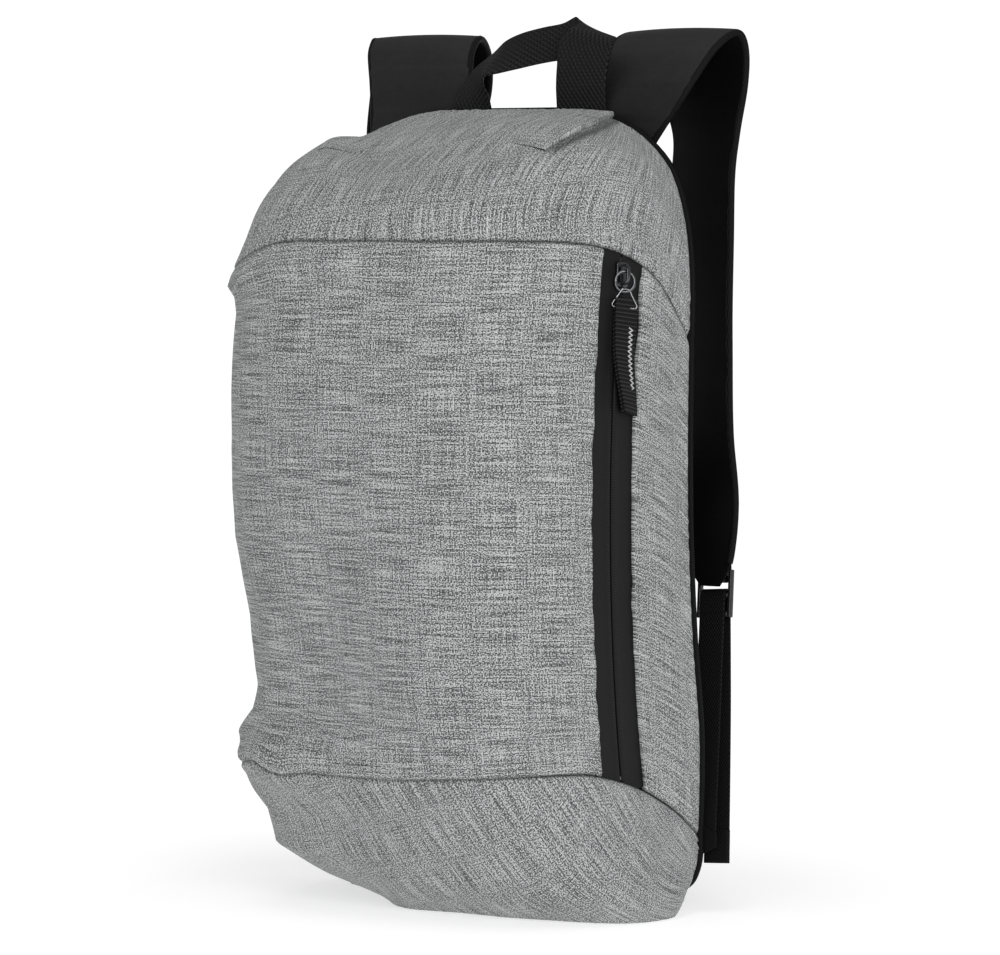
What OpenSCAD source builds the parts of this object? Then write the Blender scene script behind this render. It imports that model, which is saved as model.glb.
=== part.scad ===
// Small day backpack: zipped fabric shell, padded back, two shoulder straps, haul loop.
// Units are millimetres.  Z is up, the front of the pack faces -Y, the bag stands on Z = 0.

/* [View] */

// Part to draw, or all of them.

/* [Shell] */

// Thickness of the heathered shell fabric with its coating.
fabric_t = 1.5; // [0.8:0.1:2.5]
// Squareness of the horizontal section, 2 is an ellipse.
square = 3.4; // [2:0.1:6]
// Sideways lean of the front face as a share of the depth.
lean = 0.1; // [0:0.01:0.2]
// Y of the seam that joins the shell to the back panel.
back_y = 40; // [30:1:80]

/* [Zip] */

// Radius of the arc that the zip follows.
zip_r = 790; // [500:10:1200]
// X of the middle of the zip.
zip_x = 97.1; // [80:0.1:110]
// Distance of the middle of the zip in front of the back seam.
zip_fwd = 62.4; // [40:0.1:90]
// Height of the middle of the arc.
zip_z = 200; // [150:1:250]
// Turn of the zip band about the vertical.
zip_turn = 11.98; // [0:0.01:45]
// Width of the zip band that shows between the panels.
zip_w = 30; // [20:0.5:40]
// Depth of the tape below the shell surface.
tape_drop = 1.9; // [1.6:0.1:3]
// Thickness of the zip tape.
tape_t = 0.8; // [0.4:0.1:1.2]
// Half width of the slit between the two coils.
slit = 0.7; // [0.5:0.05:1.5]
// Turn of the slider on the arc with the zip closed.
slider_at = -8.55; // [-9:0.1:9]

/* [Straps] */

// X of the middle of each shoulder strap at the top seam.
strap_x = 58; // [45:1:70]
// X of the fold of the right strap.
fold_right = 84; // [60:1:90]
// X of the fold of the left strap.
fold_left = 68; // [60:1:90]
// Thickness of the foam in the straps.
strap_foam_t = 2.6; // [2:0.1:6]
// Thickness of the strap cloth.
strap_cloth_t = 0.9; // [0.4:0.1:1.4]
// Width of the adjusting webbing.
web_w = 14; // [12:1:25]
// Thickness of the adjusting webbing.
web_t = 1; // [0.6:0.1:1.6]

/* [Haul loop] */

// X of the middle of the haul loop.
haul_x = 11; // [-10:1:30]
// Distance between the two legs of the haul loop.
haul_span = 60; // [40:1:80]
// Width of the haul webbing at its ends.
haul_w = 29; // [20:1:35]
// Thickness of the haul webbing.
haul_t = 1.6; // [1:0.1:3]

/* [Hidden] */

$fn = 32;

// Rows of the shell: half width and height of the back seam, then depth and height of the front.
BOTTOM = [[88, 10, 0, 10], [96, 10.5, 25, -4], [102, 12.5, 50, -4], [106, 16, 68, 4],
    [108.5, 21, 84, 16], [110, 26.5, 99, 37], [110.5, 32.5, 111, 56], [110.5, 39, 120, 72]];
MAIN = [[110.5, 39, 120, 72], [111, 88, 128, 124], [107, 137, 131, 177], [104.5, 187, 132, 229],
    [104, 236, 131, 282], [104.5, 285, 124, 334]];
YOKE = [[104.5, 285, 124, 334], [105, 312, 120, 348], [102.5, 341, 111, 360],
    [95, 366, 98, 371], [83, 381, 80, 381], [68, 391, 58, 390], [50, 396.5, 30, 396.5],
    [35, 399, 0, 399]];

fabric = [0.56, 0.57, 0.58];
black = [0.05, 0.05, 0.055];
metal = [0.25, 0.26, 0.28];

zip_yc = zip_r - zip_fwd;
edge_front = 57.9;
edge_side = 69.7;
web_low = [110, back_y + 7.2, 36.6];
web_top = [102, back_y + 30, 156];
web_run = norm(web_top - web_low);
web_tilt = -asin((web_top - web_low)[1] / web_run);
web_lean = asin((web_top - web_low)[0] / web_run / cos(web_tilt));
strap_base_z = 401.5;
foam_half = strap_foam_t / 2;

function spline(a, b, c, d, f) =
    0.5 * (2 * b + (c - a) * f + (2 * a - 5 * b + 4 * c - d) * f * f
        + (3 * b - a - 3 * c + d) * f * f * f);

function along(tab, t) =
    let (n = len(tab) - 1, s = min(max(t, 0), 1) * n, i = min(floor(s), n - 1))
    spline(tab[max(i - 1, 0)], tab[i], tab[i + 1], tab[min(i + 2, n)], s - i);

function share(p) = pow(pow(abs(sin(p)), square) + pow(cos(p), square), -1 / square);

// Point of the plain shell at turn p (-90 left seam, 90 right seam) on one row.
function plain(row, p) =
    let (s = sin(p) * share(p), c = cos(p) * share(p), h = 1 - pow(1 - c, 3))
    [row[0] * s - lean * row[2] * c, -row[2] * c, max(0, row[1] + (row[3] - row[1]) * h)];

// Point of the cone the zip band lies on, a from the middle of the band.
function band(a, z) =
    [zip_x + a * sin(zip_turn),
        zip_yc - sqrt(pow(zip_r - a * cos(zip_turn), 2) - pow(z - zip_z, 2)), z];

function shift(row, p, a) = let (q = plain(row, p)) band(a, q[2]) - q;

function ease(x) = let (y = min(max(x, 0), 1)) (1 - y) * (1 - y) * (1 + 2 * y);

// Shell point pulled on to the zip cone near the zip; hold fades the pull away from the seams.
function shell(tab, p, t, hold) =
    let (row = along(tab, t), f = shift(row, edge_front, -zip_w / 2),
        b = shift(row, edge_side, zip_w / 2),
        m = (p - edge_front) / (edge_side - edge_front),
        pull = p < edge_front ? f * ease((edge_front - p) / 32)
            : p > edge_side ? b * ease((p - edge_side) / (90 - edge_side))
            : f + (b - f) * m)
    plain(row, p) + pull * hold;

// Outward direction that depends on the place only, so panels that share a seam agree.
function outward(q) =
    let (v = [pow(q[0] / 106, 3), pow(q[1] / 130, 3), pow((q[2] - 200) / 200, 7) * 0.8])
    v / norm(v);

function skin(tab, p, t, hold, deep) =
    let (q = shell(tab, p, t, hold)) q - deep * outward(q) + [0, back_y, 0];

function levels(t0, t1, n) = [for (j = [0:n]) t0 + (t1 - t0) * j / n];

function quads(a, b, c, d) = [[a, b, c], [a, c, d]];

// Closed sheet between two depths of the shell.
module sheet(tab, p0, p1, levels, nu, deep0, deep1, keep) {
    cols = nu + 1;
    nv = len(levels) - 1;
    size = cols * (nv + 1);
    pts = [for (deep = [deep0, deep1]) for (t = levels) for (i = [0:nu])
        let (p = p0 + (p1 - p0) * i / nu)
        skin(tab, p, t, keep == 0 ? 1 : keep > 0 ? pow(1 - t, 2) : t * t, deep)];
    outer = [for (j = [0:nv - 1]) for (i = [0:nu - 1]) let (k = j * cols + i)
        each quads(k, k + cols, k + cols + 1, k + 1)];
    inner = [for (j = [0:nv - 1]) for (i = [0:nu - 1]) let (k = size + j * cols + i)
        each quads(k, k + 1, k + cols + 1, k + cols)];
    low = [for (i = [0:nu - 1]) each quads(i, i + 1, size + i + 1, size + i)];
    high = [for (i = [0:nu - 1]) let (k = nv * cols + i)
        each quads(k, size + k, size + k + 1, k + 1)];
    start = [for (j = [0:nv - 1]) let (k = j * cols)
        each quads(k, size + k, size + k + cols, k + cols)];
    finish = [for (j = [0:nv - 1]) let (k = j * cols + nu)
        each quads(k, k + cols, size + k + cols, size + k)];
    polyhedron([for (q = pts) q], concat(outer, inner, low, high, start, finish), 4);
}

// Closed band through stations [x, y, z, across x, y, z, width].
module ribbon(stations, steps, low, high) {
    rows = [for (i = [0:steps]) along(stations, i / steps)];
    pos = [for (r = rows) [r[0], r[1], r[2]]];
    pts = [for (i = [0:steps])
        let (across = [rows[i][3], rows[i][4], rows[i][5]], a = across / norm(across),
            run = pos[min(i + 1, steps)] - pos[max(i - 1, 0)], c = cross(a, run),
            n = c / norm(c), half = a * rows[i][6] / 2)
        each [pos[i] - half + n * low, pos[i] + half + n * low,
            pos[i] + half + n * high, pos[i] - half + n * high]];
    walls = [for (i = [0:steps - 1]) for (k = [0, 1, 3])
        each quads(4 * i + k, 4 * i + (k + 1) % 4, 4 * i + 4 + (k + 1) % 4, 4 * i + 4 + k)];
    upper = [for (i = [0:steps - 1])
        each quads(4 * i + 3, 4 * i + 7, 4 * i + 6, 4 * i + 2)];
    polyhedron(pts, concat(walls, upper, quads(3, 2, 1, 0),
        quads(4 * steps, 4 * steps + 1, 4 * steps + 2, 4 * steps + 3)), 4);
}

// Outline of the back seam grown by g, as [x, z].
function rim_side(g) =
    concat([for (t = [0:0.125:1]) let (r = along(BOTTOM, t)) [r[0], r[1]]],
        [for (t = [0.1:0.1:1]) let (r = along(MAIN, t)) [r[0], r[1]]],
        [for (t = [0.0625:0.0625:1]) let (r = along(YOKE, t)) [r[0], r[1]]]);

function rim(g) =
    let (half = rim_side(g), n = len(half),
        full = concat(half, [for (i = [n - 1:-1:0]) [-half[i][0], half[i][1]]]), m = len(full))
    [for (i = [0:m - 1])
        let (d = full[(i + 1) % m] - full[(i + m - 1) % m], o = [d[1], -d[0]] / norm(d))
        full[i] + g * o];

module back_sheet(g, y0, y1) {
    translate([0, back_y + y1, 0])
    rotate([90, 0, 0])
    linear_extrude(height = y1 - y0)
    polygon(rim(g));
}

// Puts its children on the zip arc: x outward, y across the band, z up the zip.
module on_zip(turn) {
    translate([0, back_y + zip_yc, zip_z])
    rotate([turn, 0, 0])
    translate([zip_x, -zip_r, 0])
    rotate([0, 0, -zip_turn])
    children();
}

// Strip of the zip cone: a0 to a1 across, n0 to n1 out, between two turns.
module zip_strip(a0, a1, n0, n1, turn0, turn1) {
    translate([0, back_y + zip_yc, zip_z])
    rotate([0, 90, 0])
    rotate([0, 0, turn0 - 90])
    rotate_extrude(angle = turn1 - turn0, $fn = 360)
    polygon([for (q = [[a0, n0], [a1, n0], [a1, n1], [a0, n1]])
        [zip_r - q[0] * cos(zip_turn) + q[1] * sin(zip_turn),
            zip_x + q[0] * sin(zip_turn) + q[1] * cos(zip_turn)]]);
}

module front_panel() {
    color(fabric)
    sheet(MAIN, -90, edge_front, levels(0.0006, 0.9994, 16), 36, 0, fabric_t, 0);
}

module side_panel() {
    color(fabric)
    sheet(MAIN, edge_side, 90, levels(0.0006, 0.9994, 16), 8, 0, fabric_t, 0);
}

module top_yoke() {
    color(fabric)
    sheet(YOKE, -90, 90, levels(0.0006, 1, 16), 40, 0, fabric_t, 1);
}

module bottom_panel() {
    color(fabric)
    sheet(BOTTOM, -90, 90, concat([0, 0.04, 0.08, 0.12], levels(0.3, 0.9994, 11)), 30, 0, fabric_t, -1);
}

module back_panel() {
    color(black)
    back_sheet(-4.2, 0.6, 1.6);
}

module back_foam() {
    color([0.2, 0.2, 0.21])
    back_sheet(-4.6, -5.5, 0.5);
}

module back_lining() {
    color(black)
    back_sheet(-4.6, -6.3, -5.6);
}

module back_binding() {
    color(black)
    difference() {
        back_sheet(0.8, 0.1, 3.1);
        back_sheet(-4, -1, 4);
    }
}

module yoke_seam_tape() {
    color(black)
    sheet(MAIN, -84, 50, levels(0.965, 0.998, 2), 24, 1.7, 2.5, 0);
}

module bottom_seam_tape() {
    color(black)
    sheet(MAIN, -84, 50, levels(0.002, 0.035, 2), 24, 1.7, 2.5, 0);
}

module zip_tape_front() {
    color(black)
    zip_strip(-zip_w / 2 - 1.2, -slit, -tape_drop - tape_t, -tape_drop, -9.45, 9.55);
}

module zip_tape_side() {
    color(black)
    zip_strip(slit, zip_w / 2 + 1.2, -tape_drop - tape_t, -tape_drop, -9.45, 9.55);
}

module zip_coil_front() {
    color(black)
    zip_strip(-3.2, -slit, -4.2, -tape_drop - tape_t - 0.05, -9.2, 9.3);
}

module zip_coil_side() {
    color(black)
    zip_strip(slit, 3.2, -4.2, -tape_drop - tape_t - 0.05, -9.2, 9.3);
}

module zip_stops() {
    color(metal) {
        on_zip(-9.1)
        translate([-1.75, -2.6, -1.2])
        cube([1, 5.2, 2.4]);
        on_zip(9.3)
        translate([-1.75, -2.6, -1.2])
        cube([1, 5.2, 2.4]);
    }
}

module plate(n0, n1, half, round_r, long) {
    translate([n0, 0, 0])
    rotate([0, 90, 0])
    linear_extrude(height = n1 - n0)
    union() {
        square([long - 2 * round_r, 2 * half], center = true);
        square([long, 2 * (half - round_r)], center = true);
        for (i = [-1, 1]) {
            for (j = [-1, 1]) {
                translate([i * (long / 2 - round_r), j * (half - round_r)])
                circle(round_r);
            }
        }
    }
}

module zip_slider() {
    color(metal)
    on_zip(slider_at)
    union() {
        plate(-1.45, 0, 4.4, 2, 12);
        plate(-5.4, -4.5, 4.8, 2, 12);
        translate([-5, -0.4, -5.4])
        cube([4.2, 0.8, 10.8]);
        for (j = [-1, 1]) {
            translate([-5.4, j * 4.3 - 0.5, -4])
            cube([2.4, 1, 8]);
        }
        for (z = [-4.6, 3.4]) {
            translate([-0.4, -1.1, z])
            cube([3.6, 2.2, 1.2]);
        }
        translate([3.1, -1.1, -4.6])
        cube([1, 2.2, 9.2]);
    }
}

// Flat oval ring in the plane of the band.
module oval(n0, n1, long, half, wire) {
    translate([n0, 0, 0])
    rotate([0, 90, 0])
    linear_extrude(height = n1 - n0)
    difference() {
        hull() {
            for (i = [-1, 1]) {
                translate([i * (long / 2 - half), 0])
                circle(half);
            }
        }
        hull() {
            for (i = [-1, 1]) {
                translate([i * (long / 2 - half), 0])
                circle(half - wire);
            }
        }
    }
}

module pull_link() {
    color(metal)
    on_zip(slider_at)
    translate([0, 0, -3.4])
    oval(0.9, 2.3, 11, 4.8, 1.2);
}

module wire_ring(r) {
    rotate_extrude()
    translate([r, 0])
    circle(0.4, $fn = 16);
}

module pull_ring() {
    color(metal)
    on_zip(slider_at)
    union() {
        translate([1.6, 0, -8.3])
        rotate([90, 0, 0])
        wire_ring(1.5);
        translate([2, 0, -12.9])
        rotate([0, 90, 0])
        wire_ring(3.2);
    }
}

module pull_tab() {
    color(black)
    on_zip(slider_at)
    translate([0, 0, -12.1])
    rotate([11, 0, 0])
    difference() {
        translate([0.4, -6, -58])
        cube([3.2, 12, 58]);
        translate([1.2, -7, -44])
        cube([1.6, 14, 43.2]);
        for (i = [-1, 1]) {
            translate([1.2, i * 4.6 - 2.5, -3])
            cube([1.6, 5, 4]);
        }
    }
}

HAUL = [[-30, 0, 0, 1, 0, 0, 29], [-28, 0, 6, 1, 0, -0.15, 24], [-24, 0, 13, 0.95, 0, -0.35, 18],
    [-18, 0, 20, 0.75, 0, -0.7, 16], [-8, 0, 24, 0.25, 0, -0.97, 17], [4, 0, 25.5, 0, 0, -1, 19],
    [17, 0, 27, -0.15, 0, -1, 21], [28, 0, 24, -0.75, 0, -0.75, 25],
    [31.5, 0, 14, -1, 0, -0.08, 30], [30.4, 0, 0, -1, 0, 0, 29]];

module haul_loop() {
    color(black)
    translate([haul_x, back_y - 0.8, 405])
    ribbon(HAUL, 36, -haul_t / 2, haul_t / 2);
}

module haul_loop_anchor() {
    color(black)
    for (i = [-1, 1]) {
        translate([haul_x + i * haul_span / 2 - haul_w / 2, back_y - 0.8 - haul_t / 2, 399.4])
        cube([haul_w, haul_t, 4.8]);
    }
}

// Stations of a right-hand strap, from the top seam over the fold to the ladder-lock.
function strap_path(fold) =
    let (b = back_y, x = fold + 8, w = web_top[0] - x, e = web_top[2])
    [[strap_x, b + 4.3, strap_base_z + 1, 1, 0, 0, 60],
        [strap_x + (fold - strap_x) * 0.3, b + 9, 414, 1, 0, 0, 62],
        [strap_x + (fold - strap_x) * 0.75, b + 18, 429, 1, 0, 0, 65],
        [fold, b + 28, 436, 1, -0.05, 0, 66],
        [fold + 3, b + 37, 428, 1, -0.2, 0, 66],
        [fold + 5, b + 39, 410, 0.95, -0.32, 0, 65],
        [x, b + 37, 385, 0.88, -0.47, 0, 60],
        [x - w * 0.05, b + 34, 340, 0.9, -0.43, 0, 56],
        [x + w * 0.12, b + 33, 285, 0.92, -0.38, 0, 51],
        [x + w * 0.42, b + 32, 232, 0.97, -0.2, 0, 43],
        [x + w * 0.9, b + 31.6, 194, 1, 0, 0, 31],
        [web_top[0] - 0.4, b + 31.4, e + 19, 1, 0, 0, 15]];

module strap_layer(fold, low, high) {
    color(black)
    ribbon(strap_path(fold), 44, low, high);
}

module strap_anchor() {
    color(black)
    translate([strap_x - 30, back_y + 3.3, 376])
    cube([60, 2, strap_base_z - 376]);
}

// Frame of the webbing: origin at its lower end, z up the webbing.
module on_web(up) {
    translate(web_low)
    rotate([web_tilt, web_lean, 0])
    translate([0, 0, up])
    children();
}

module ladderlock() {
    color(black)
    on_web(web_run)
    union() {
        for (i = [-1, 1]) {
            translate([i * 8.7 - 0.9, -1.8, -11])
            cube([1.8, 3.6, 23.5]);
        }
        for (z = [-9.5, 0, 11]) {
            translate([-8.5, 0, z])
            rotate([0, 90, 0])
            cylinder(h = 17, r = 1.4);
        }
    }
}

module end_loop() {
    color(black)
    translate([web_top[0] - 6.3, web_top[1], web_top[2]])
    translate([-0.7, 2.2, 10.8])
    rotate([90, 0, 90])
    linear_extrude(height = 12.6)
    difference() {
        union() {
            circle(4.5);
            translate([-4.5, 0])
            square([9, 7.6]);
        }
        circle(3.8);
        translate([-3.8, 0])
        square([7.6, 6.6]);
    }
}

module webbing() {
    color(black)
    on_web(0)
    translate([-web_w / 2, -3.3, 1])
    cube([web_w, web_t, web_run - 11]);
}

TAIL = [[0, -2.8, -9, 1, 0, 0, 1], [0, -2.7, -3, 1, 0, 0, 1], [0, -1.7, 1.6, 1, 0, 0, 1],
    [0, 0, 2.7, 1, 0, 0, 1], [0, 1.8, 1.6, 1, 0, 0, 1], [0, 2.7, -3, 1, 0, 0, 1],
    [0, 3.2, -12, 1, 0, 0, 1], [0, 4, -60, 1, 0, 0, 1], [0, 3, -137, 1, 0, 0, 1]];

module webbing_tail() {
    color(black)
    on_web(web_run)
    ribbon([for (r = TAIL) [r[0], r[1], r[2], 1, 0, 0, web_w]], 40, -web_t / 2, web_t / 2);
}

module webbing_gusset() {
    color(black)
    translate([0, back_y + 4.6, 0])
    rotate([90, 0, 0])
    linear_extrude(height = 1.2)
    polygon([[80, 12], [104, 12], [118, 29], [118, 36], [102, 36]]);
}

module flip() {
    mirror([1, 0, 0])
    children();
}

front_panel();
side_panel();
top_yoke();
bottom_panel();
back_panel();
back_foam();
back_lining();
back_binding();
yoke_seam_tape();
bottom_seam_tape();
zip_tape_front();
zip_tape_side();
zip_coil_front();
zip_coil_side();
zip_stops();
zip_slider();
pull_link();
pull_ring();
pull_tab();
haul_loop();
haul_loop_anchor();
strap_layer(fold_right, foam_half + 0.05, foam_half + strap_cloth_t);  // right_strap_face
strap_layer(fold_right, -foam_half, foam_half);  // right_strap_foam
strap_layer(fold_right, -foam_half - strap_cloth_t, -foam_half - 0.05);  // right_strap_back
strap_anchor();  // right_strap_anchor
end_loop();  // right_strap_end_loop
ladderlock();  // right_ladderlock
webbing();  // right_webbing
webbing_tail();  // right_webbing_tail
webbing_gusset();  // right_webbing_gusset
flip() strap_layer(fold_left, foam_half + 0.05, foam_half + strap_cloth_t);  // left_strap_face
flip() strap_layer(fold_left, -foam_half, foam_half);  // left_strap_foam
flip() strap_layer(fold_left, -foam_half - strap_cloth_t, -foam_half - 0.05);  // left_strap_back
flip() strap_anchor();  // left_strap_anchor
flip() end_loop();  // left_strap_end_loop
flip() ladderlock();  // left_ladderlock
flip() webbing();  // left_webbing
flip() webbing_tail();  // left_webbing_tail
flip() webbing_gusset();  // left_webbing_gusset
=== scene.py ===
"""Visual model of the daypack. Lengths are millimetres and angles degrees, unless a line says otherwise."""
import math

import bpy
import numpy as np
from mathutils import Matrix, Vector, noise


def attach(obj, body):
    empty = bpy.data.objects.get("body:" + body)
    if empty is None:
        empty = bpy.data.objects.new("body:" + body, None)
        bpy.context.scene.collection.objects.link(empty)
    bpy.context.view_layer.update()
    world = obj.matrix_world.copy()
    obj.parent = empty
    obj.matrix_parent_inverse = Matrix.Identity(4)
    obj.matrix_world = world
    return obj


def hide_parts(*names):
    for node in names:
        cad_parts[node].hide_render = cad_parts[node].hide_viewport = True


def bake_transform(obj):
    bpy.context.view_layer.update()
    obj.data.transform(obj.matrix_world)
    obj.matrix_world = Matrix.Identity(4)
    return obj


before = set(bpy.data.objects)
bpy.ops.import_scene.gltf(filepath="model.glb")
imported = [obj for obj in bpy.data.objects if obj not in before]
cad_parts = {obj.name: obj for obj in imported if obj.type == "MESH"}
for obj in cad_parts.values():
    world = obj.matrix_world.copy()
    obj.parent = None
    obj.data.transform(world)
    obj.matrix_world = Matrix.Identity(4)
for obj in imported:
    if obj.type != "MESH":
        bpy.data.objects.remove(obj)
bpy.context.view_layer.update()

# ---------------------------------------------------------------- dimensions
BACK_Y = 40.0  # plane of the back
SQUARE = 3.4  # exponent of the outline seen from above: 2 is an ellipse
LEAN = 0.1  # sideways lean of the shell's front
ZIP_R, ZIP_X, ZIP_FWD, ZIP_Z, ZIP_TURN = 790.0, 97.1, 62.4, 200.0, math.radians(11.98)
ZIP_YC = ZIP_R - ZIP_FWD
ZIP_W = 30.0
SLIDER_AT = math.radians(-8.55)
EDGE_FRONT, EDGE_SIDE = 57.9, 69.7  # where the zip's band begins and ends round the shell
PULL_SIDE = 32  # how far round the shell, before the band, its pull fades out
LIP = 2.2  # depth of a panel's turned-in edge
# Rows of the shell: half width, height at the back, depth, height at the front.
BOTTOM = np.array([[88, 10, 0, 10], [96, 10.5, 25, -4], [102, 12.5, 50, -4], [106, 16, 68, 4],
                   [108.5, 21, 84, 16], [110, 26.5, 99, 37], [110.5, 32.5, 111, 56],
                   [110.5, 39, 120, 72]], float)
MAIN = np.array([[110.5, 39, 120, 72], [111, 88, 128, 124], [107, 137, 131, 177],
                 [104.5, 187, 132, 229], [104, 236, 131, 282], [104.5, 285, 124, 334]], float)
YOKE = np.array([[104.5, 285, 124, 334], [105, 312, 120, 348], [102.5, 341, 111, 360],
                 [95, 366, 98, 371], [83, 381, 80, 381], [68, 391, 58, 390],
                 [50, 396.5, 30, 396.5], [35, 399, 0, 399]], float)


def along(tab, t):
    """Catmull-Rom through evenly spaced rows."""
    n = len(tab) - 1
    s = min(max(t, 0.0), 1.0) * n
    i = min(int(s), n - 1)
    f = s - i
    a, b, c, d = tab[max(i - 1, 0)], tab[i], tab[i + 1], tab[min(i + 2, n)]
    return 0.5 * (2 * b + (c - a) * f + (2 * a - 5 * b + 4 * c - d) * f * f
                  + (3 * b - a - 3 * c + d) * f ** 3)


def ease(x):
    """1 at x = 0, falling smoothly to 0 at x = 1."""
    y = np.clip(x, 0, 1)
    return (1 - y) ** 2 * (1 + 2 * y)


def plain(row, deg):
    """Points of one row of the shell before the zip's band pulls on it."""
    p = np.radians(deg)
    k = (np.abs(np.sin(p)) ** SQUARE + np.abs(np.cos(p)) ** SQUARE) ** (-1 / SQUARE)
    s, c = np.sin(p) * k, np.maximum(np.cos(p), 0) * k
    h = 1 - (1 - c) ** 3
    z = np.maximum(0, row[1] + (row[3] - row[1]) * h)
    return np.stack([row[0] * s - LEAN * row[2] * c, -row[2] * c, z], -1)


def band(a, z):
    """Point of the zip's cone, a across the band from its middle."""
    x = ZIP_X + a * math.sin(ZIP_TURN)
    return np.array([x, ZIP_YC - math.sqrt((ZIP_R - a * math.cos(ZIP_TURN)) ** 2
                                           - (z - ZIP_Z) ** 2), z])


def shell_row(tab, deg, t, hold):
    """Points of the shell at share t of a table's height, drawn to the zip's band by hold."""
    row = along(tab, t)
    q = plain(row, deg)
    ends = []
    for turn, a in ((EDGE_FRONT, -ZIP_W / 2), (EDGE_SIDE, ZIP_W / 2)):
        e = plain(row, np.array([turn]))[0]
        ends.append(band(a, e[2]) - e)
    m = np.clip((deg - EDGE_FRONT) / (EDGE_SIDE - EDGE_FRONT), 0, 1)[:, None]
    mid = ends[0] + (ends[1] - ends[0]) * m
    pull = np.where((deg < EDGE_FRONT)[:, None], ends[0] * ease((EDGE_FRONT - deg) / PULL_SIDE)[:, None],
                    np.where((deg > EDGE_SIDE)[:, None],
                             ends[1] * ease((deg - EDGE_SIDE) / (90 - EDGE_SIDE))[:, None], mid))
    return q + pull * hold


def noise_at(points, size, seed=0.0, stretch=(1, 1, 1)):
    s = np.asarray(stretch, float) / size
    return np.array([noise.noise(Vector((p[0] * s[0] + seed, p[1] * s[1] - seed, p[2] * s[2] + 3 * seed)))
                     for p in points.reshape(-1, 3)]).reshape(points.shape[:-1])


def arc(points, axis):
    """Distance run along one axis of a grid of points."""
    d = np.linalg.norm(np.diff(points, axis=axis), axis=-1)
    pad = np.zeros_like(np.take(d, [0], axis=axis))
    return np.concatenate([pad, np.cumsum(d, axis=axis)], axis=axis)


def normals(p):
    du, dv = np.gradient(p, axis=1), np.gradient(p, axis=0)
    n = np.cross(du, dv)
    return n / np.maximum(np.linalg.norm(n, axis=-1, keepdims=True), 1e-9)


def collection_object(name, mesh):
    o = bpy.data.objects.new(name, mesh)
    bpy.context.collection.objects.link(o)
    return o


def grid_object(name, pts, uv=None, mat=None, flip=False, crease=None, close_u=False):
    """Mesh of a rows x columns grid of points in millimetres; uv in metres."""
    rows, cols = pts.shape[:2]
    idx = np.arange(rows * cols).reshape(rows, cols)
    a, b = idx[:-1, :-1].ravel(), idx[:-1, 1:].ravel()
    c, d = idx[1:, 1:].ravel(), idx[1:, :-1].ravel()
    faces = np.stack([a, b, c, d], 1)
    if close_u:
        e, f = idx[:-1, -1], idx[:-1, 0]
        g, h = idx[1:, 0], idx[1:, -1]
        faces = np.concatenate([faces, np.stack([e, f, g, h], 1)])
    if flip:
        faces = faces[:, ::-1]
    me = bpy.data.meshes.new(name)
    me.from_pydata((pts.reshape(-1, 3) * 0.001).tolist(), [], faces.tolist())
    if uv is not None:
        layer = me.uv_layers.new(name="Weave")
        loops = np.empty(len(me.loops), np.int32)
        me.loops.foreach_get("vertex_index", loops)
        layer.data.foreach_set("uv", uv.reshape(-1, 2)[loops].astype(np.float32).ravel())
    # crease: share of painted shade at each point, darkening the colour in creases and seams
    if crease is not None:
        at = me.attributes.new("crease", "FLOAT", "POINT")
        at.data.foreach_set("value", crease.ravel().astype(np.float32))
    me.polygons.foreach_set("use_smooth", [True] * len(me.polygons))
    me.update()
    o = collection_object(name, me)
    if mat:
        me.materials.append(mat)
    return o


# ---------------------------------------------------------------- materials
# Share of the colour taken away by painted shade where the crease attribute is 1.
CREASE_SHADE_DEPTH = 0.7


def nodes_of(name):
    """A new material, its node tree and its shader."""
    m = bpy.data.materials.new(name)
    m.use_nodes = True
    t = m.node_tree
    t.nodes.clear()
    out = t.nodes.new("ShaderNodeOutputMaterial")
    sh = t.nodes.new("ShaderNodeBsdfPrincipled")
    t.links.new(sh.outputs["BSDF"], out.inputs["Surface"])
    return m, t, sh


def math_node(t, op, a, b=None, c=None):
    n = t.nodes.new("ShaderNodeMath")
    n.operation = op
    for i, v in enumerate((a, b, c)):
        if v is None:
            continue
        if isinstance(v, (int, float)):
            n.inputs[i].default_value = v
        else:
            t.links.new(v, n.inputs[i])
    return n.outputs[0]


def times(t, a, b):
    return math_node(t, "MULTIPLY", a, b)


def plus(t, a, b):
    return math_node(t, "ADD", a, b)


def less(t, a, b):
    return math_node(t, "SUBTRACT", a, b)


def shades(colour, *pairs):
    """Ramp stops: each pair is a position and a share of the colour."""
    return [(at, tuple(c * share for c in colour)) for at, share in pairs]


def surface(sh, rough, shine):
    sh.inputs["Roughness"].default_value = rough
    sh.inputs["Specular IOR Level"].default_value = shine


def uv_split(t):
    """Across and along coordinates of the Weave map, in metres."""
    uv = t.nodes.new("ShaderNodeUVMap")
    uv.uv_map = "Weave"
    sep = t.nodes.new("ShaderNodeSeparateXYZ")
    t.links.new(uv.outputs[0], sep.inputs[0])
    return sep.outputs


def uv_vector(t, sx, sy, turn=0.0, seed=0.0):
    """Weave map turned, then scaled to sx and sy cells per metre."""
    uv = t.nodes.new("ShaderNodeUVMap")
    uv.uv_map = "Weave"
    rot = t.nodes.new("ShaderNodeMapping")
    rot.inputs["Rotation"].default_value = (0, 0, turn)
    rot.inputs["Location"].default_value = (seed, seed * 1.7, seed)
    t.links.new(uv.outputs[0], rot.inputs["Vector"])
    mp = t.nodes.new("ShaderNodeMapping")
    mp.inputs["Scale"].default_value = (sx, sy, 1)
    t.links.new(rot.outputs[0], mp.inputs["Vector"])
    return mp.outputs[0]


def noise_tex(t, vec, detail, rough=0.5):
    n = t.nodes.new("ShaderNodeTexNoise")
    n.noise_dimensions = "2D"
    n.inputs["Scale"].default_value = 1.0
    n.inputs["Detail"].default_value = detail
    n.inputs["Roughness"].default_value = rough
    t.links.new(vec, n.inputs["Vector"])
    return n.outputs["Fac"]


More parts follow.
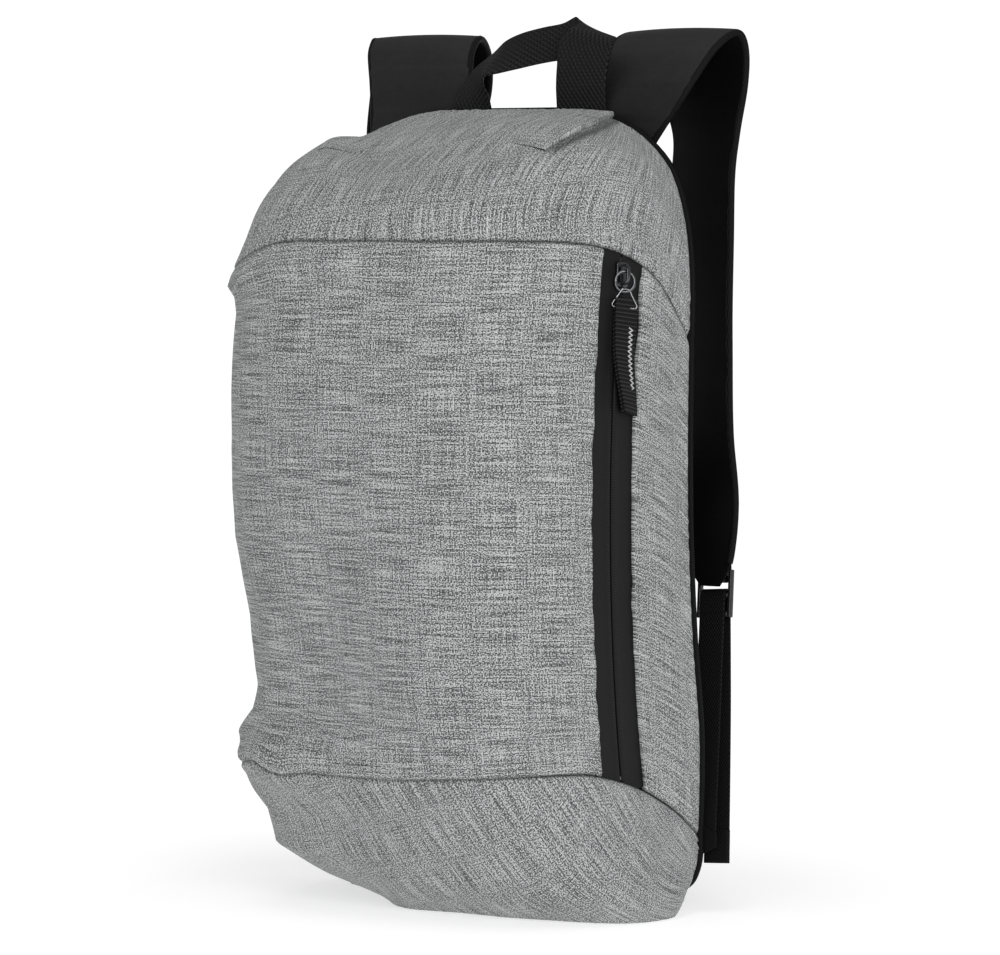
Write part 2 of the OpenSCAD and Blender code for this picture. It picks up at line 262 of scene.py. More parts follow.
def ramp(t, fac, stops):
    r = t.nodes.new("ShaderNodeValToRGB")
    el = r.color_ramp.elements
    while len(el) > 1:
        el.remove(el[-1])
    el[0].position, el[0].color = stops[0][0], (*stops[0][1], 1)
    for pos, col in stops[1:]:
        e = el.new(pos)
        e.color = (*col, 1)
    t.links.new(fac, r.inputs[0])
    return r.outputs[0]


def bump(t, sh, height, distance, strength):
    b = t.nodes.new("ShaderNodeBump")
    b.inputs["Strength"].default_value = strength
    b.inputs["Distance"].default_value = distance
    t.links.new(height, b.inputs["Height"])
    t.links.new(b.outputs[0], sh.inputs["Normal"])


def crease_shade(t, colour):
    """Painted shade: darkens a colour where the mesh's crease attribute is high."""
    at = t.nodes.new("ShaderNodeAttribute")
    at.attribute_name = "crease"
    mix = t.nodes.new("ShaderNodeMix")
    mix.data_type = "RGBA"
    mix.blend_type = "MULTIPLY"
    mix.inputs["Factor"].default_value = 1.0
    shade = less(t, 1.0, times(t, at.outputs["Fac"], CREASE_SHADE_DEPTH))
    comb = t.nodes.new("ShaderNodeCombineColor")
    for i in range(3):
        t.links.new(shade, comb.inputs[i])
    t.links.new(colour, mix.inputs["A"])
    t.links.new(comb.outputs[0], mix.inputs["B"])
    return mix.outputs["Result"]


def melange(name, turn, cross=0.22):
    """Heathered grey polyester: slubby light and dark yarns both ways over a plain weave."""
    m, t, sh = nodes_of(name)
    weft = noise_tex(t, uv_vector(t, 36, 1250, turn, 3.1), 2.0)
    warp = noise_tex(t, uv_vector(t, 1250, 34, turn, 7.7), 2.0)
    grain = noise_tex(t, uv_vector(t, 1380, 1550, turn, 1.3), 0.0)
    cloud = noise_tex(t, uv_vector(t, 20, 26, turn, 5.9), 2.0)
    grain_share, weft_share, cloud_share = 0.58, 0.40, 0.02
    total = times(t, grain, grain_share)
    for part, share in ((weft, weft_share), (warp, cross), (cloud, cloud_share)):
        total = math_node(t, "MULTIPLY_ADD", part, share, total)
    middle = (grain_share + weft_share + cloud_share + cross) / 2
    contrast, lightness = 3.75, 0.515
    fac = math_node(t, "MULTIPLY_ADD", less(t, total, middle), contrast, lightness)
    col = ramp(t, fac, [(0.0, (0.055, 0.057, 0.058)), (0.3, (0.14, 0.145, 0.146)),
                        (0.5, (0.24, 0.247, 0.248)), (0.72, (0.36, 0.368, 0.368)),
                        (1.0, (0.56, 0.568, 0.568))])
    # Colour darkened by painted shade along seams and under the dart folds.
    t.links.new(crease_shade(t, col), sh.inputs["Base Color"])
    surface(sh, 0.85, 0.2)
    sh.inputs["Sheen Weight"].default_value = 0.1
    sh.inputs["Sheen Roughness"].default_value = 0.5
    bump(t, sh, total, 0.0004, 0.5)
    return m


def nylon(name, colour, rough, pitch=2200, strength=0.35, shine=0.25):
    """Plain woven cloth in one colour, with pitch yarns per metre and faint blotches."""
    m, t, sh = nodes_of(name)
    yarn = noise_tex(t, uv_vector(t, pitch * 0.06, pitch, 0.0, 2.0), 2.0, 0.6)
    cross = noise_tex(t, uv_vector(t, pitch, pitch * 0.08, 0.0, 4.0), 2.0, 0.6)
    blotch = noise_tex(t, uv_vector(t, 40, 25, 0.0, 9.0), 3.0, 0.6)
    total = plus(t, times(t, yarn, 0.5), times(t, cross, 0.5))
    both = plus(t, times(t, total, 0.7), times(t, blotch, 0.3))
    col = ramp(t, both, shades(colour, (0.3, 0.6), (0.5, 1.0), (0.7, 1.45)))
    t.links.new(col, sh.inputs["Base Color"])
    surface(sh, rough, shine)
    bump(t, sh, total, 0.0003, strength)
    return m


def wave(t, cycles, axis):
    """0..1 sine across (0) or along (1) the Weave map, in cycles per metre."""
    s = times(t, uv_split(t)[axis], cycles * 2 * math.pi)
    return math_node(t, "MULTIPLY_ADD", math_node(t, "SINE", s), 0.5, 0.5)


def webbing_mat(name, colour, across, length, strength, rough, shine):
    """Woven webbing: knuckles in a checkerboard, across and length to the metre."""
    m, t, sh = nodes_of(name)
    u = wave(t, across, 0)
    v = wave(t, length, 1)
    cells = plus(t, times(t, u, v), times(t, less(t, 1.0, u), less(t, 1.0, v)))
    fuzz = noise_tex(t, uv_vector(t, 1500, 1500, 0.0, 6.0), 2.0, 0.6)
    height = plus(t, times(t, cells, 0.8), times(t, fuzz, 0.25))
    # Painted shade and highlight: colour darker between the knuckles and lighter on their tops, following the
    # bump's height.
    col = ramp(t, height, shades(colour, (0.15, 0.35), (0.55, 1.0), (1.0, 1.8)))
    t.links.new(col, sh.inputs["Base Color"])
    surface(sh, rough, shine)
    bump(t, sh, height, 0.0006, strength)
    return m


def ribbed(name, colour, ribs):
    """Grosgrain ribbon with raised ribs across it, ribs per metre."""
    m, t, sh = nodes_of(name)
    rib = math_node(t, "POWER", wave(t, ribs, 1), 1.6)
    yarn = noise_tex(t, uv_vector(t, 2600, 500, 0.0, 2.5), 2.0, 0.6)
    height = math_node(t, "MULTIPLY_ADD", yarn, 0.15, rib)
    # Painted highlight and shade: rib tops coloured up to three times lighter than the grooves between them.
    col = ramp(t, height, shades(colour, (0.1, 0.15), (0.6, 1.0), (1.1, 3.2)))
    t.links.new(col, sh.inputs["Base Color"])
    surface(sh, 0.6, 0.2)
    bump(t, sh, height, 0.0008, 0.9)
    return m


def plain_mat(name, colour, rough, metallic=0.0, grain=0.0, scale=900):
    """Smooth metal, plastic or thread with a faint mottle; grain is its bump in metres."""
    m, t, sh = nodes_of(name)
    sh.inputs["Metallic"].default_value = metallic
    co = t.nodes.new("ShaderNodeTexCoord")
    n = t.nodes.new("ShaderNodeTexNoise")
    n.inputs["Scale"].default_value = scale
    n.inputs["Detail"].default_value = 3
    t.links.new(co.outputs["Object"], n.inputs["Vector"])
    mottle = ramp(t, n.outputs["Fac"], shades(colour, (0.3, 0.82), (0.7, 1.18)))
    t.links.new(mottle, sh.inputs["Base Color"])
    r = math_node(t, "MULTIPLY_ADD", n.outputs["Fac"], 0.12, rough - 0.06)
    t.links.new(r, sh.inputs["Roughness"])
    if grain:
        bump(t, sh, n.outputs["Fac"], grain, 0.4)
    return m


def coated_tape(name):
    """Water-repellent coated zip tape, with the coil showing through beside the slit."""
    m, t, sh = nodes_of(name)
    coil_from_slit, coil_half, teeth_per_metre = 0.0024, 0.0013, 780
    off = math_node(t, "ABSOLUTE", uv_split(t)[0])
    near = math_node(t, "LESS_THAN", math_node(t, "ABSOLUTE", less(t, off, coil_from_slit)), coil_half)
    teeth = times(t, wave(t, teeth_per_metre, 1), near)
    film = noise_tex(t, uv_vector(t, 1300, 1300, 0.0, 8.0), 2.0)
    height = plus(t, times(t, teeth, 0.8), times(t, film, 0.15))
    # Painted highlight: the coil's ridges coloured lighter than the flat tape beside them.
    col = ramp(t, height, [(0.0, (0.006, 0.0063, 0.006)), (0.5, (0.0058, 0.0061, 0.0058)),
                           (1.0, (0.011, 0.0115, 0.011))])
    t.links.new(col, sh.inputs["Base Color"])
    surface(sh, 0.6, 0.2)
    bump(t, sh, height, 0.0004, 0.5)
    return m


M_FRONT = melange("melange_front", 0.0)
M_YOKE = melange("melange_yoke", math.radians(82))
M_BOTTOM = melange("melange_bottom", math.radians(75), cross=0.16)
M_STRAP = nylon("black_nylon", (0.0108, 0.0108, 0.0112), rough=0.5)
# Strap pads' back face: a far darker copy of the strap cloth, painted shade where the strap hangs turned from
# the light.
M_STRAP_BACK_SHADE = nylon("strap_back_painted_shade", (0.0022, 0.0022, 0.0023), rough=0.6, pitch=1800, strength=0.4, shine=0.06)
M_BACK = nylon("back_cloth", (0.006, 0.006, 0.0063), rough=0.65, pitch=1500, strength=0.6)
M_BIND = webbing_mat("binding", (0.004, 0.004, 0.0042), across=900, length=900, strength=0.5,
                     rough=0.6, shine=0.12)
M_HAUL = webbing_mat("haul_webbing", (0.0058, 0.0058, 0.006), across=400, length=280, strength=1.3,
                     rough=0.5, shine=0.22)
M_WEB = webbing_mat("strap_webbing", (0.004, 0.004, 0.0042), across=700, length=420, strength=0.7,
                    rough=0.6, shine=0.12)
M_TAB = ribbed("grosgrain", (0.009, 0.009, 0.0094), ribs=500)
M_TAPE = coated_tape("coated_tape")
M_METAL = plain_mat("gun_metal", (0.10, 0.102, 0.107), rough=0.2, metallic=1.0)
M_WIRE = plain_mat("ring_wire", (0.3, 0.3, 0.31), rough=0.25, metallic=1.0)
M_PLASTIC = plain_mat("moulded_plastic", (0.006, 0.006, 0.0062), rough=0.35, grain=0.0001)
M_THREAD = plain_mat("light_thread", (0.5, 0.5, 0.51), rough=0.8, grain=0.0002, scale=3000)

# ---------------------------------------------------------------- shell panels
PACK = np.array([0.0, BACK_Y, 0.0])
STEP = 1.25  # mesh spacing of the panels


def count(mm):
    return max(8, int(mm / STEP))


def undulate(p, seed):
    """Slow unevenness of a stuffed cloth shell, in millimetres along the surface."""
    a = noise_at(p, 75, seed) * 2.0
    b = noise_at(p, 34, seed + 4, (1, 1, 0.55)) * 0.9
    c = noise_at(p, 16, seed + 9, (0.6, 0.6, 1.2)) * 0.28
    return a + b + c


def pucker(dist, run, seed):
    """Little gathers that cross a seam and fade out away from it."""
    reach, size, pitch = 12.0, 0.55, 9.0
    ph = np.array([noise.noise(Vector((r / 21.0, seed, 0.3))) for r in run.ravel()]).reshape(run.shape)
    am = np.array([noise.noise(Vector((r / 33.0, 5.0, seed))) for r in run.ravel()]).reshape(run.shape)
    return size * (0.7 + 1.2 * am) * np.exp(-dist / reach) * np.sin(2 * np.pi * run / pitch + 6.0 * ph)


def seam_dip(dist, depth):
    """Cloth drawn down towards a seam, at a distance from it."""
    return -depth * np.exp(-(dist / 1.7) ** 1.4)


def lip(p, n):
    """Adds a turned-in border row on all sides of a grid."""
    out = np.concatenate([p[:1] - LIP * n[:1], p, p[-1:] - LIP * n[-1:]], 0)
    n = np.concatenate([n[:1], n, n[-1:]], 0)
    return np.concatenate([out[:, :1] - LIP * n[:, :1], out, out[:, -1:] - LIP * n[:, -1:]], 1)


# How far the left side of the shell is drawn in, as (height, distance).
DRAWN_IN = [(0, 38), (12, 22), (29, 4), (48, 7.5), (60, 4), (70, 1), (78, 0.5), (88, 3), (100, 11), (112, 13),
            (130, 11.5), (147, 10), (166, 6.5), (186, 3), (210, 1), (230, 0), (300, 0), (314, -2), (324, -6),
            (334, -4), (346, 1.5), (363, 5.5), (378, 3), (395, 0)]


LEFT = (0.848, 0.53)  # x and y of the draw, which runs from the left towards the right and back
CORNER = (-106, 74)  # x and z of the crumpled lower left corner
LOW_SEAM, HIGH_SEAM = 72, 334


def bell(v, middle, width):
    return np.exp(-((v - middle) / width) ** 2)


def fade(v, length):
    """0 at v = 0 rising evenly to 1 at v = length."""
    return np.clip(v / length, 0, 1)


def settle(p):
    """Slump of the stuffed bag: drawn-in left side, folds at its lower corner, seams that are not level."""
    x, y, z = p[..., 0], p[..., 1] - BACK_Y, p[..., 2]
    leftward = -(LEFT[0] * x + LEFT[1] * y)
    left = fade(leftward - 44, 70)
    left = left * left * (3 - 2 * left) * fade(-y, 40)
    off = np.interp(z, [r[0] for r in DRAWN_IN], [r[1] for r in DRAWN_IN]) * left

    # Folds that fan out from the lower left corner.
    dx, dz = x - CORNER[0], z - CORNER[1]
    r = np.hypot(dx, dz)
    ang = np.arctan2(np.abs(dz) + 2, dx + 14)
    fan = 3.0 * np.sin(8.5 * ang + 0.8) * np.exp(-(r / 50) ** 1.6) * fade(r - 4, 12)
    fan *= fade(-x - 20, 50) * fade(-y - 20, 30) * np.where(dz > 0, 1, 0.6)
    kink = bell(x, -84, 9) - 0.7 * bell(x, -62, 10)
    kink *= bell(z, CORNER[1], 13) * fade(-y - 30, 30)

    # Fuller foot at the right, low seam lifted at the right, high seam drooping at the left, slack yoke.
    full = fade(26 - z, 18) * fade(x - 50, 30) * fade(-y, 15)
    low = bell(z, LOW_SEAM, 26) * fade(x - 5, 85) * fade(-y - 25, 50)
    high = bell(z, HIGH_SEAM, 26) * fade(-y, 30)
    high *= np.interp(leftward, (100, 112, 123, 129, 134, 140), (0, 1.5, 6, 10, 15, 18))
    across = x + 0.625 * y
    sag = fade(z - 358, 22) * fade(-y, 35) * fade(-across, 70) * fade(across + 112, 24)

    out = p.copy()
    out[..., 0] += LEFT[0] * off + 6 * full
    out[..., 1] += LEFT[1] * off - fan
    out[..., 2] += 5.5 * low - high + 3.2 * kink - 7 * sag
    return out


def wavy_edge(run, seed):
    """Unevenness of a free edge, by the distance run along it."""
    slow = [noise.noise(Vector((v / 17.0, seed, 1.0))) for v in run.ravel()]
    fine = [noise.noise(Vector((v / 6.0, seed, 2.0))) for v in run.ravel()]
    return (np.array(slow) + 0.4 * np.array(fine)).reshape(run.shape)


def panel(name, tab, ends, cols, rows, hold, mat, seams, seed, side_seams, extra=None):
    """One sewn panel. ends: where it begins and ends round the shell; seams: dip depth at its low and high
    rows; side_seams: at left and right, where 0 is a free edge; extra: more painted crease shade by point."""
    degs = np.linspace(*ends, cols)
    ts = np.linspace(0, 1, rows)
    p = np.stack([shell_row(tab, degs, t, hold(t)) for t in ts]) + PACK
    n = normals(p)
    au, av = arc(p, 1), arc(p, 0)
    from_low, from_high = av, av[-1:] - av
    from_left, from_right = au, au[:, -1:] - au
    border = np.minimum.reduce([from_low, from_high, from_left, from_right])
    d = undulate(p, seed) * fade(border, 18.0) ** 0.8
    along_row = np.zeros_like(d)
    if 0 in side_seams:
        free = from_right if side_seams[0] else from_left
        along_row = 1.3 * wavy_edge(av, seed) * np.exp(-free / 6.0)
    run_u = np.gradient(p, axis=1)
    run_u /= np.linalg.norm(run_u, axis=-1, keepdims=True)
    # Painted shade mask: darkness painted into the colour along seam valleys and wherever extra gives it.
    crease = np.zeros_like(d) if extra is None else extra(p)
    for dist, run, dep in ((from_low, au, seams[0]), (from_high, au, seams[1]),
                           (from_left, av, side_seams[0]), (from_right, av, side_seams[1])):
        if dep:
            d += seam_dip(dist, dep) + pucker(dist, run, seed + dep) * fade(dist, 2.5)
            # Painted shade in the seam's valley.
            crease = np.maximum(crease, bell(dist, 0, 0.8))
    q = settle(p + n * d[..., None] + run_u * along_row[..., None])
    mid = np.argmin(abs(degs))
    uv = np.stack([au - au[:, mid:mid + 1], av], -1) * 0.001
    return grid_object(name, lip(q, normals(q)), np.pad(uv, ((1, 1), (1, 1), (0, 0)), "edge"), mat,
                       crease=np.pad(crease, 1, "edge"))


DART_START, DART_LONG = BACK_Y - 3, 72.0


def dart_x(s):
    """How far from the middle a dart's fold is, from the back seam (s = 0) to its tip (s = 1)."""
    return 61.5 + 4.1 * s + 22 * s * (1 - s)


def dart_shadow(p):
    """Darkness under the folded edge of each dart in the yoke."""
    c = np.zeros(p.shape[:2])
    s = np.clip((DART_START - p[..., 1]) / DART_LONG, -0.2, 1.2)
    for side in (1, -1):
        dist = p[..., 0] * side - dart_x(s)
        c = np.maximum(c, bell(dist, 1.8, 2.3) * fade(1.02 - s, 0.1) * fade(p[..., 2] - 340, 12))
    return c


def dart(name, side, height):
    """Folded edge of a dart: cloth that rises to a crease and tucks back under itself."""
    cloth = np.array([v.co[:] for v in yoke.data.vertices]) * 1000.0
    cloth = cloth[cloth[:, 2] > 355]
    fold = [(-30, -0.2), (-24, 0.15), (-18, 0.6), (-12, 1.15), (-7, 1.65), (-3.5, 2.1), (-1, 2.5), (0, 2.6),
            (0.3, 2.35), (0.3, 1.6), (-0.2, 0.7), (-1.2, -0.4)]
    rows, uvs = [], []
    for s in np.linspace(-0.02, 1.0, 60):
        f = (1 - max(s, 0) ** 7) * 0.72 + 0.28
        row, uv = [], []
        for d, h in fold:
            at = np.array([side * (dart_x(s) + d * (0.55 + 0.45 * f)), DART_START - DART_LONG * s])
            gap = ((cloth[:, :2] - at) ** 2).sum(1)
            near = np.argsort(gap)[:12]
            w = 1 / (gap[near] + 0.6)
            z = (cloth[near, 2] * w).sum() / w.sum()
            row.append((at[0], at[1], z + 0.15 + h * f * height))
            uv.append((s * 0.08 + 0.3, d * 0.001 + 0.2))
        rows.append(row)
        uvs.append(uv)
    o = grid_object(name, np.array(rows), np.array(uvs), M_FRONT, flip=side > 0)
    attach(o, "pack")


front = panel("front_panel_cloth", MAIN, (-90, EDGE_FRONT), count(330), count(265), lambda t: 1.0, M_FRONT,
              (1.5, 1.5), 1.0, (1.0, 0))
side = panel("side_panel_cloth", MAIN, (EDGE_SIDE, 90), count(46), count(265), lambda t: 1.0, M_FRONT,
             (1.5, 1.5), 2.0, (0, 1.0))
yoke = panel("top_yoke_cloth", YOKE, (-90, 90), count(380), count(170), lambda t: (1 - t) ** 2, M_YOKE,
             (1.5, 1.2), 3.0, (1.0, 1.0), dart_shadow)
bottom = panel("bottom_panel_cloth", BOTTOM, (-90, 90), count(380), count(150), lambda t: t * t, M_BOTTOM,
               (0.6, 1.5), 4.0, (1.0, 1.0))
for o, node_name in ((front, "front_panel"), (side, "side_panel"), (yoke, "top_yoke"),
                     (bottom, "bottom_panel")):
    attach(o, "pack")
    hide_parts(node_name)

dart("right_dart_fold", 1, height=1.5)
dart("left_dart_fold", -1, height=0.6)

for nm, t0, t1 in (("yoke", 0.965, 0.998), ("bottom", 0.002, 0.035)):
    degs = np.linspace(-84, 50, 90)
    tape = np.stack([shell_row(MAIN, degs, t, 1.0) for t in np.linspace(t0, t1, 5)]) + PACK
    tape = settle(tape) - 3.4 * normals(tape)
    o = grid_object(nm + "_seam_tape_strip", tape, tape[..., [0, 2]] * 0.001, M_BIND)
    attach(o, "pack")
    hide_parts(nm + "_seam_tape")


# ---------------------------------------------------------------- strips, bands and tubes
def ring_profile(width, thick, corner, crown=0.0, flat=10):
    """Closed outline of a flat band, as (across, out); flat is the number of steps on each face."""
    steps = 6
    w, h, r = width / 2, thick / 2, corner
    pts = []
    for cx, cy, a0 in ((w - r, -h + r, -90), (w - r, h - r, 0), (-w + r, h - r, 90), (-w + r, -h + r, 180)):
        for i in range(steps + 1):
            a = math.radians(a0 + 90 * i / steps)
            pts.append((cx + r * math.cos(a), cy + r * math.sin(a)))
        if a0 in (0, 180):
            s = 1 if a0 == 0 else -1
            for i in range(1, flat):
                x = s * (w - r) * (1 - 2 * i / flat)
                pts.append((x, s * (h + crown * (1 - (x / max(w - r, 1e-6)) ** 2))))
    return np.array(pts)


def band_object(name, stations, steps, thick, mat, crown=0.0, corner=None, wobble=None, flat=10):
    """Flat closed band swept through stations [x, y, z, across x, y, z, width]."""
    tab = np.array(stations, float)
    rows = np.stack([along(tab, i / steps) for i in range(steps + 1)])
    pos, across = rows[:, :3], rows[:, 3:6]
    across = across / np.linalg.norm(across, axis=1, keepdims=True)
    run = np.gradient(pos, axis=0)
    nrm = np.cross(across, run)
    nrm /= np.linalg.norm(nrm, axis=1, keepdims=True)
    length = np.concatenate([[0], np.cumsum(np.linalg.norm(np.diff(pos, axis=0), axis=1))])
    rings, uvs = [], []
    for i in range(steps + 1):
        prof = ring_profile(rows[i, 6], thick, corner or thick * 0.45, crown=crown, flat=flat)
        ring = pos[i] + prof[:, :1] * across[i] + prof[:, 1:] * nrm[i]
        rings.append(ring)
        uvs.append(np.stack([prof[:, 0], np.full(len(prof), length[i])], -1) * 0.001)
    pts, uv = np.array(rings), np.array(uvs)
    if wobble is not None:
        pts = wobble(pts, nrm, length)
    mids = [np.repeat(pts[k].mean(0, keepdims=True), pts.shape[1], 0) for k in (0, -1)]
    shrink = [pts[k] * 0.35 + mids[j] * 0.65 for j, k in enumerate((0, -1))]
    pts = np.concatenate([mids[0][None], shrink[0][None], pts, shrink[1][None], mids[1][None]], 0)
    uv = np.concatenate([uv[:1], uv[:1], uv, uv[-1:], uv[-1:]], 0)
    return grid_object(name, pts, uv, mat, close_u=True)


def tube(name, path, radius, mat, closed=False, sides=10):
    """Round wire or thread along points in millimetres."""
    pts = [Vector(p) for p in path]
    m = len(pts)
    rings = []
    ref = Vector((0.13, 0.27, 0.95))
    for i in range(m):
        a = pts[(i - 1) % m] if closed or i else pts[i]
        b = pts[(i + 1) % m] if closed or i < m - 1 else pts[i]
        tan = (b - a).normalized()
        side_v = tan.cross(ref)
        if side_v.length < 0.15:
            side_v = tan.cross(Vector((0.9, 0.1, 0.1)))
        side_v.normalize()
        ref = side_v.cross(tan)
        up = tan.cross(side_v)
        rings.append([pts[i] + radius * (math.cos(2 * math.pi * k / sides) * side_v
                                         + math.sin(2 * math.pi * k / sides) * up) for k in range(sides)])
    arr = np.array([[list(v) for v in r] for r in rings])
    if closed:
        arr = np.concatenate([arr, arr[:1]], 0)
    else:
        arr = np.concatenate([np.repeat(arr[:1].mean(1, keepdims=True), sides, 1), arr,
                              np.repeat(arr[-1:].mean(1, keepdims=True), sides, 1)], 0)
    u = np.tile(np.arange(sides)[None] * radius * 0.6, (len(arr), 1))
    v = np.tile(np.arange(len(arr))[:, None] * 0.8, (1, sides))
    return grid_object(name, arr, np.stack([u, v], -1) * 0.001, mat, close_u=True)


def on_zip(p, turn=SLIDER_AT):
    """Row-frame point of (out, across, up) on the zip arc."""
    a = -ZIP_TURN
    x = ZIP_X + p[0] * math.cos(a) - p[1] * math.sin(a)
    y = p[0] * math.sin(a) + p[1] * math.cos(a) - ZIP_R
    z = p[2]
    return (x, BACK_Y + ZIP_YC + y * math.cos(turn) - z * math.sin(turn),
            ZIP_Z + y * math.sin(turn) + z * math.cos(turn))


def zip_object(name, profile, turn0, turn1, rows, mat):
    """Strip swept along the zip arc; profile is (across, out) points."""
    turns = np.radians(np.linspace(turn1, turn0, rows))
    pts = np.array([[on_zip((n, a, 0.0), t) for a, n in profile] for t in turns])
    v = -turns * ZIP_R
    uv = np.array([[(a, vv) for a, n in profile] for vv in v]) * 0.001
    return grid_object(name, pts, uv, mat)


def tape_profile(sign):
    """Tape cross-section from the seam allowance to the slit, turned down at the slit."""
    pts = [(17.8, -1.9), (15, -1.85), (12, -1.8), (8, -1.8), (5, -1.75), (4.2, -1.65), (3.4, -1.42),
           (2.4, -1.34), (1.4, -1.4), (0.8, -1.62), (0.5, -2.0), (0.45, -2.6), (0.7, -3.2)]
    prof = [(sign * a, n) for a, n in pts]
    return prof if sign < 0 else prof[::-1]


COIL_TURNS, COIL_SIDES, COIL_R = 210, 8, 1.35
for sign, nm in ((-1, "front"), (1, "side")):
    o = zip_object("zip_tape_" + nm + "_cloth", tape_profile(sign), -9.6, 9.9, 260, M_TAPE)
    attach(o, "pack")
    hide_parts("zip_tape_" + nm, "zip_coil_" + nm)
    coil = []
    for i in range(COIL_TURNS * COIL_SIDES):
        a = 2 * math.pi * i / COIL_SIDES
        tt = math.radians(-9.2 + 18.5 * i / (COIL_TURNS * COIL_SIDES))
        coil.append(on_zip((-3.4 + 0.65 * math.sin(a), sign * (2.0 - COIL_R * math.cos(a)), 0.0), tt))
    c = tube("zip_coil_" + nm + "_wire", coil, 0.32, M_PLASTIC, sides=5)
    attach(c, "pack")

across = np.array(on_zip((0, 1, 0))) - np.array(on_zip((0, 0, 0)))
for k, turn in enumerate((-9.1, 9.3)):
    row = [[*on_zip((-2.5, 0, z), math.radians(turn)), *across, 5.2] for z in (-1.2, -0.4, 0.4, 1.2)]
    o = band_object("zip_stop_" + str(k), row, 4, 0.9, M_METAL, corner=0.3)
    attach(o, "pack")
    if k == 0:
        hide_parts("zip_stops")


# ---------------------------------------------------------------- back of the pack
def rim_line(inset):
    """Right-hand edge of the back, from the base up to the top seam."""
    pts = [along(BOTTOM, t)[:2] for t in np.linspace(0, 1, 22)]
    pts += [along(MAIN, t)[:2] for t in np.linspace(0, 1, 30)[1:]]
    pts += [along(YOKE, t)[:2] for t in np.linspace(0, 1, 26)[1:]]
    pts = np.array(pts)
    d = np.gradient(pts, axis=0)
    out = np.stack([d[:, 1], -d[:, 0]], -1) / np.linalg.norm(d, axis=1, keepdims=True)
    return pts - inset * out


def back_cloth():
    """Padded back, sewn in channels that run down it between two rows of stitching."""
    deep, wide, foot, head = 2.0, 2.2, 40.0, 352.0
    edge = rim_line(3.9)
    s = np.linspace(-1, 1, count(200))
    p = np.zeros((len(edge), len(s), 3))
    p[..., 0] = edge[:, :1] * s
    p[..., 2] = edge[:, 1:2]
    x, z = p[..., 0], p[..., 2]
    y = 3.4 * (0.5 + 0.5 * fade(edge[:, :1] * (1 - abs(s)), 9))
    for line in (-34.0, 0.0, 34.0):
        y -= deep * bell(x, line, wide) * fade(z - foot, 12) * fade(head - z, 12)
    for line in (foot, head):
        y -= deep * bell(z, line, wide) * fade(82 - abs(x), 10)
    y += noise_at(p, 30, 21.0) * 0.3 + noise_at(p, 12, 22.0) * 0.12
    p[..., 1] = BACK_Y + np.maximum(y, 0.9)
    return grid_object("back_panel_cloth", p, np.stack([x, z], -1) * 0.001, M_BACK, flip=True)


back = back_cloth()
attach(back, "pack")
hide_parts("back_panel")


def closed_band(name, line, width, thick, y, mat):
    """Tape swept round a closed outline in the plane of the back."""
    n = len(line)
    d = np.roll(line, -1, 0) - np.roll(line, 1, 0)
    d = d / np.linalg.norm(d, axis=1, keepdims=True)
    out = np.stack([d[:, 1], -d[:, 0]], -1)
    prof = ring_profile(width, thick, thick * 0.45, crown=0.5, flat=6)
    run = np.concatenate([[0], np.cumsum(np.linalg.norm(np.diff(line, axis=0), axis=1))])
    pts = np.zeros((n + 1, len(prof), 3))
    uv = np.zeros((n + 1, len(prof), 2))
    for i in range(n + 1):
        k = i % n
        pts[i, :, 0] = line[k, 0] + prof[:, 0] * out[k, 0]
        pts[i, :, 2] = line[k, 1] + prof[:, 0] * out[k, 1]
        pts[i, :, 1] = y + prof[:, 1]
        uv[i] = np.stack([prof[:, 0], np.full(len(prof), run[min(i, n - 1)])], -1) * 0.001
    return grid_object(name, pts, uv, mat, close_u=True)


edge = rim_line(1.6)
rim = np.concatenate([edge, edge[::-1] * [-1, 1]], 0)
binding = closed_band("back_binding_tape", rim, 4.9, 2.8, BACK_Y + 1.6, M_BIND)
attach(binding, "pack")
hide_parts("back_binding")

# ---------------------------------------------------------------- grab handle
# Stations: x, distance behind the back's plane, z, across direction, width.
HAUL = [[-23, 0.6, 392, 1, 0, -0.1, 24], [-22.6, 0.2, 401, 1, 0, -0.12, 22],
        [-21.4, -0.4, 408, 0.95, -0.2, -0.2, 20], [-18.6, -0.6, 415, 0.65, -0.6, -0.45, 19],
        [-13, 0, 421.5, 0.1, -0.75, -0.65, 18], [-5, 1, 425.5, 0, -0.4, -0.9, 18],
        [6, 2, 428.6, 0, -0.12, -1, 18], [18, 3, 431, 0, 0, -1, 18], [29, 3.6, 432.6, 0, 0, -1, 18.5],
        [39, 3.8, 434.8, 0.4, 0, -0.92, 21], [46.5, 3, 436.8, 0.8, 0, -0.6, 24],
        [49.8, 0.8, 436.8, 0.955, 0, -0.297, 24], [48.6, -1.8, 435, 0.97, 0, -0.24, 27],
        [45.4, -2.4, 430, 1, 0, -0.12, 30.5], [43.3, -2, 420, 1, 0, 0, 29.6],
        [41.9, -1.2, 410, 1, 0, 0, 28.8], [41.5, 0, 401, 1, 0, 0, 28.6], [41.5, 0.6, 392, 1, 0, 0, 28.6]]
HAUL = [[r[0], r[1] + BACK_Y, *r[2:]] for r in HAUL]
haul = band_object("haul_loop_webbing", HAUL, 240, 1.8, M_HAUL, crown=0.15, flat=24)
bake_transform(haul)
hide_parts("haul_loop", "haul_loop_anchor")

# ---------------------------------------------------------------- shoulder straps
FOLD = {"right": 84.0, "left": 68.0}  # how far out each strap's top fold is
WEB_WIDE = 14.0
TAIL_SPLAY = 0.035  # how much the loose tail leans outwards
WEB_LOW = np.array([110.0, BACK_Y + 7.2, 36.6])
WEB_TOP = np.array([102.0, BACK_Y + 30.0, 156.0])
WEB_RUN = float(np.linalg.norm(WEB_TOP - WEB_LOW))
UP = (WEB_TOP - WEB_LOW) / WEB_RUN
TILT = -math.asin(UP[1])
LEAN_WEB = math.asin(UP[0] / math.cos(TILT))


